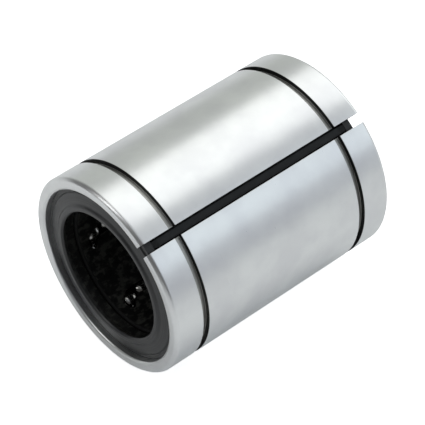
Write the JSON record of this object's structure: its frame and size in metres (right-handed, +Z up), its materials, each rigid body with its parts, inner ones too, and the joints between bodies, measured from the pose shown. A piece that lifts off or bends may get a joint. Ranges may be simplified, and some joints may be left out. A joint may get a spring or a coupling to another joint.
{
  "type": "adjustable linear ball bushing",
  "caption": "Ground steel linear ball bushing, slit along its length so its fit can be set, with circulating balls in a moulded retainer, lip seals and snap ring grooves",
  "frame": {"origin": "centre of the shaft bore, midway between the two end faces", "axes": "+X along the shaft from the front end to the rear end, +Z up, +Y to the left of +X; the slit lies 125.6 degrees from +Y towards +Z"},
  "size_m": [0.08, 0.062, 0.062],
  "materials": {
    "bearing_steel": "hardened bearing steel, ground bright and lightly oiled",
    "retainer_resin": "black moulded acetal resin, satin",
    "seal_rubber": "black nitrile rubber, matt",
    "ball_steel": "polished chromium steel bearing balls",
    "ring_steel": "spring steel, phosphated dark grey",
    "core_steel": "pressed mild steel, pickled"
  },
  "bodies": {
    "bushing_shell": {"outer_cylinder": "bearing_steel", "ball_retainer": "retainer_resin", "front_retaining_ring": "ring_steel", "rear_retaining_ring": "ring_steel", "front_seal": "seal_rubber", "rear_seal": "seal_rubber", "front_seal_core": "core_steel", "rear_seal_core": "core_steel"},
    "circuit_1_loaded_row": {"circuit_1_loaded_row": "ball_steel"},
    "circuit_1_return_row": {"circuit_1_return_row": "ball_steel"},
    "circuit_1_front_turn": {"circuit_1_front_turn": "ball_steel"},
    "circuit_1_rear_turn": {"circuit_1_rear_turn": "ball_steel"},
    "circuit_2_loaded_row": {"circuit_2_loaded_row": "ball_steel"},
    "circuit_2_return_row": {"circuit_2_return_row": "ball_steel"},
    "circuit_2_front_turn": {"circuit_2_front_turn": "ball_steel"},
    "circuit_2_rear_turn": {"circuit_2_rear_turn": "ball_steel"},
    "circuit_3_loaded_row": {"circuit_3_loaded_row": "ball_steel"},
    "circuit_3_return_row": {"circuit_3_return_row": "ball_steel"},
    "circuit_3_front_turn": {"circuit_3_front_turn": "ball_steel"},
    "circuit_3_rear_turn": {"circuit_3_rear_turn": "ball_steel"},
    "circuit_4_loaded_row": {"circuit_4_loaded_row": "ball_steel"},
    "circuit_4_return_row": {"circuit_4_return_row": "ball_steel"},
    "circuit_4_front_turn": {"circuit_4_front_turn": "ball_steel"},
    "circuit_4_rear_turn": {"circuit_4_rear_turn": "ball_steel"},
    "circuit_5_loaded_row": {"circuit_5_loaded_row": "ball_steel"},
    "circuit_5_return_row": {"circuit_5_return_row": "ball_steel"},
    "circuit_5_front_turn": {"circuit_5_front_turn": "ball_steel"},
    "circuit_5_rear_turn": {"circuit_5_rear_turn": "ball_steel"},
    "circuit_6_loaded_row": {"circuit_6_loaded_row": "ball_steel"},
    "circuit_6_return_row": {"circuit_6_return_row": "ball_steel"},
    "circuit_6_front_turn": {"circuit_6_front_turn": "ball_steel"},
    "circuit_6_rear_turn": {"circuit_6_rear_turn": "ball_steel"}
  },
  "joints": [
    {"name": "circuit_1_travel", "type": "slide", "parent": "bushing_shell", "child": "circuit_1_loaded_row", "axis": [1, 0, 0], "range_m": [-0.00281, 0.00281]},
    {"name": "circuit_1_return", "type": "slide", "parent": "bushing_shell", "child": "circuit_1_return_row", "axis": [-1, 0, 0], "range_m": [-0.00281, 0.00281]},
    {"name": "circuit_1_rear_turning", "type": "hinge", "parent": "bushing_shell", "child": "circuit_1_rear_turn", "pos_m": [0.02529, -0.02092, 0.00986], "axis": [0, -0.9645, 0.2642], "range_deg": [-45, 45]},
    {"name": "circuit_1_front_turning", "type": "hinge", "parent": "bushing_shell", "child": "circuit_1_front_turn", "pos_m": [-0.02529, -0.02092, 0.00986], "axis": [0, -0.9645, 0.2642], "range_deg": [-45, 45]},
    {"name": "circuit_2_travel", "type": "slide", "parent": "bushing_shell", "child": "circuit_2_loaded_row", "axis": [1, 0, 0], "range_m": [-0.00281, 0.00281]},
    {"name": "circuit_2_return", "type": "slide", "parent": "bushing_shell", "child": "circuit_2_return_row", "axis": [-1, 0, 0], "range_m": [-0.00281, 0.00281]},
    {"name": "circuit_2_rear_turning", "type": "hinge", "parent": "bushing_shell", "child": "circuit_2_rear_turn", "pos_m": [0.02529, -0.019, -0.01319], "axis": [0, -0.711, -0.7032], "range_deg": [-45, 45]},
    {"name": "circuit_2_front_turning", "type": "hinge", "parent": "bushing_shell", "child": "circuit_2_front_turn", "pos_m": [-0.02529, -0.019, -0.01319], "axis": [0, -0.711, -0.7032], "range_deg": [-45, 45]},
    {"name": "circuit_3_travel", "type": "slide", "parent": "bushing_shell", "child": "circuit_3_loaded_row", "axis": [1, 0, 0], "range_m": [-0.00281, 0.00281]},
    {"name": "circuit_3_return", "type": "slide", "parent": "bushing_shell", "child": "circuit_3_return_row", "axis": [-1, 0, 0], "range_m": [-0.00281, 0.00281]},
    {"name": "circuit_3_rear_turning", "type": "hinge", "parent": "bushing_shell", "child": "circuit_3_rear_turn", "pos_m": [0.02529, 0.00192, -0.02305], "axis": [0, 0.2535, -0.9673], "range_deg": [-45, 45]},
    {"name": "circuit_3_front_turning", "type": "hinge", "parent": "bushing_shell", "child": "circuit_3_front_turn", "pos_m": [-0.02529, 0.00192, -0.02305], "axis": [0, 0.2535, -0.9673], "range_deg": [-45, 45]},
    {"name": "circuit_4_travel", "type": "slide", "parent": "bushing_shell", "child": "circuit_4_loaded_row", "axis": [1, 0, 0], "range_m": [-0.00281, 0.00281]},
    {"name": "circuit_4_return", "type": "slide", "parent": "bushing_shell", "child": "circuit_4_return_row", "axis": [-1, 0, 0], "range_m": [-0.00281, 0.00281]},
    {"name": "circuit_4_rear_turning", "type": "hinge", "parent": "bushing_shell", "child": "circuit_4_rear_turn", "pos_m": [0.02529, 0.02092, -0.00986], "axis": [0, 0.9645, -0.2642], "range_deg": [-45, 45]},
    {"name": "circuit_4_front_turning", "type": "hinge", "parent": "bushing_shell", "child": "circuit_4_front_turn", "pos_m": [-0.02529, 0.02092, -0.00986], "axis": [0, 0.9645, -0.2642], "range_deg": [-45, 45]},
    {"name": "circuit_5_travel", "type": "slide", "parent": "bushing_shell", "child": "circuit_5_loaded_row", "axis": [1, 0, 0], "range_m": [-0.00281, 0.00281]},
    {"name": "circuit_5_return", "type": "slide", "parent": "bushing_shell", "child": "circuit_5_return_row", "axis": [-1, 0, 0], "range_m": [-0.00281, 0.00281]},
    {"name": "circuit_5_rear_turning", "type": "hinge", "parent": "bushing_shell", "child": "circuit_5_rear_turn", "pos_m": [0.02529, 0.019, 0.01319], "axis": [0, 0.711, 0.7032], "range_deg": [-45, 45]},
    {"name": "circuit_5_front_turning", "type": "hinge", "parent": "bushing_shell", "child": "circuit_5_front_turn", "pos_m": [-0.02529, 0.019, 0.01319], "axis": [0, 0.711, 0.7032], "range_deg": [-45, 45]},
    {"name": "circuit_6_travel", "type": "slide", "parent": "bushing_shell", "child": "circuit_6_loaded_row", "axis": [1, 0, 0], "range_m": [-0.00281, 0.00281]},
    {"name": "circuit_6_return", "type": "slide", "parent": "bushing_shell", "child": "circuit_6_return_row", "axis": [-1, 0, 0], "range_m": [-0.00281, 0.00281]},
    {"name": "circuit_6_rear_turning", "type": "hinge", "parent": "bushing_shell", "child": "circuit_6_rear_turn", "pos_m": [0.02529, -0.00192, 0.02305], "axis": [0, -0.2535, 0.9673], "range_deg": [-45, 45]},
    {"name": "circuit_6_front_turning", "type": "hinge", "parent": "bushing_shell", "child": "circuit_6_front_turn", "pos_m": [-0.02529, -0.00192, 0.02305], "axis": [0, -0.2535, 0.9673], "range_deg": [-45, 45]}
  ],
  "couplings": [
    {"joint": "circuit_1_return", "follows": "circuit_1_travel", "ratio": 1},
    {"joint": "circuit_1_rear_turning", "follows": "circuit_1_travel", "rad_per_m": 279.5},
    {"joint": "circuit_1_front_turning", "follows": "circuit_1_travel", "rad_per_m": 279.5},
    {"joint": "circuit_2_return", "follows": "circuit_2_travel", "ratio": 1},
    {"joint": "circuit_2_rear_turning", "follows": "circuit_2_travel", "rad_per_m": 279.5},
    {"joint": "circuit_2_front_turning", "follows": "circuit_2_travel", "rad_per_m": 279.5},
    {"joint": "circuit_3_return", "follows": "circuit_3_travel", "ratio": 1},
    {"joint": "circuit_3_rear_turning", "follows": "circuit_3_travel", "rad_per_m": 279.5},
    {"joint": "circuit_3_front_turning", "follows": "circuit_3_travel", "rad_per_m": 279.5},
    {"joint": "circuit_4_return", "follows": "circuit_4_travel", "ratio": 1},
    {"joint": "circuit_4_rear_turning", "follows": "circuit_4_travel", "rad_per_m": 279.5},
    {"joint": "circuit_4_front_turning", "follows": "circuit_4_travel", "rad_per_m": 279.5},
    {"joint": "circuit_5_return", "follows": "circuit_5_travel", "ratio": 1},
    {"joint": "circuit_5_rear_turning", "follows": "circuit_5_travel", "rad_per_m": 279.5},
    {"joint": "circuit_5_front_turning", "follows": "circuit_5_travel", "rad_per_m": 279.5},
    {"joint": "circuit_6_return", "follows": "circuit_6_travel", "ratio": 1},
    {"joint": "circuit_6_rear_turning", "follows": "circuit_6_travel", "rad_per_m": 279.5},
    {"joint": "circuit_6_front_turning", "follows": "circuit_6_travel", "rad_per_m": 279.5}
  ]
}
